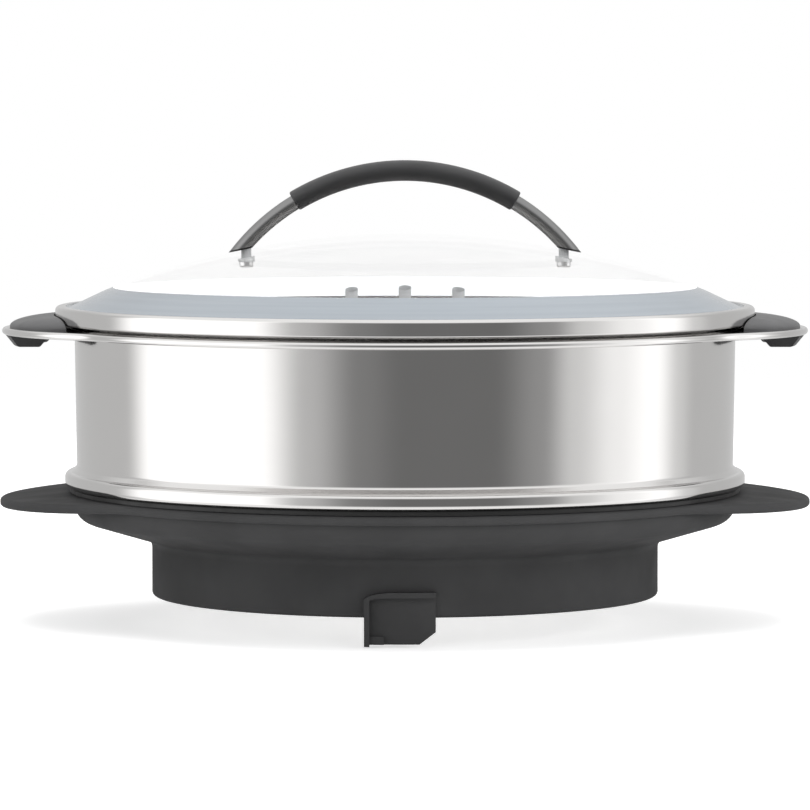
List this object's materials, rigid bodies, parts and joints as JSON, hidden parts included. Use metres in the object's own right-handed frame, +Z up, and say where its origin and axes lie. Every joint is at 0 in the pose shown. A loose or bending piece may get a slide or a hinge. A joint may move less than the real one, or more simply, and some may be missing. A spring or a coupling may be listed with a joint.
{
  "type": "food steamer",
  "caption": "Wide round steamer for a cooker bowl: eared base with a skirt, perforated steel basket with grips, domed glass lid with a bow handle.",
  "frame": {"origin": "centre of the mouth of the skirt that goes over the cooker's bowl", "axes": "+Z up along the round axis, +X along the ears, -Y towards the front with the key"},
  "size_m": [0.4046, 0.3518, 0.2302],
  "materials": {
    "base_plastic": "fine satin",
    "grip_plastic": "satin",
    "sleeve_rubber": "satin",
    "seal_rubber": "matte",
    "basket_steel": "polished",
    "bow_steel": "satin",
    "screw_steel": "satin",
    "lid_glass": "clear",
    "clear_washer": "cloudy"
  },
  "bodies": {
    "base": {"base_dish": "base_plastic", "safety_key": "base_plastic", "seat_gasket": "seal_rubber", "bowl_seal": "seal_rubber"},
    "basket": {"basket_wall": "basket_steel", "perforated_floor": "basket_steel", "rim_plate": "basket_steel", "grip_top_left": "grip_plastic", "grip_top_right": "grip_plastic", "grip_bottom_left": "grip_plastic", "grip_bottom_right": "grip_plastic", "grip_screws": "screw_steel"},
    "lid": {"lid_ring": "basket_steel", "lid_glass": "lid_glass", "handle_bow": "bow_steel", "handle_sleeve": "sleeve_rubber", "foot_pads": "seal_rubber", "under_washers": "clear_washer", "handle_screws": "screw_steel"}
  },
  "joints": [
    {"name": "basket_lift", "type": "slide", "parent": "base", "child": "basket", "axis": [0, 0, 1], "range_m": [0, 0.12]},
    {"name": "lid_lift", "type": "slide", "parent": "basket", "child": "lid", "axis": [0, 0, 1], "range_m": [0, 0.15]}
  ]
}
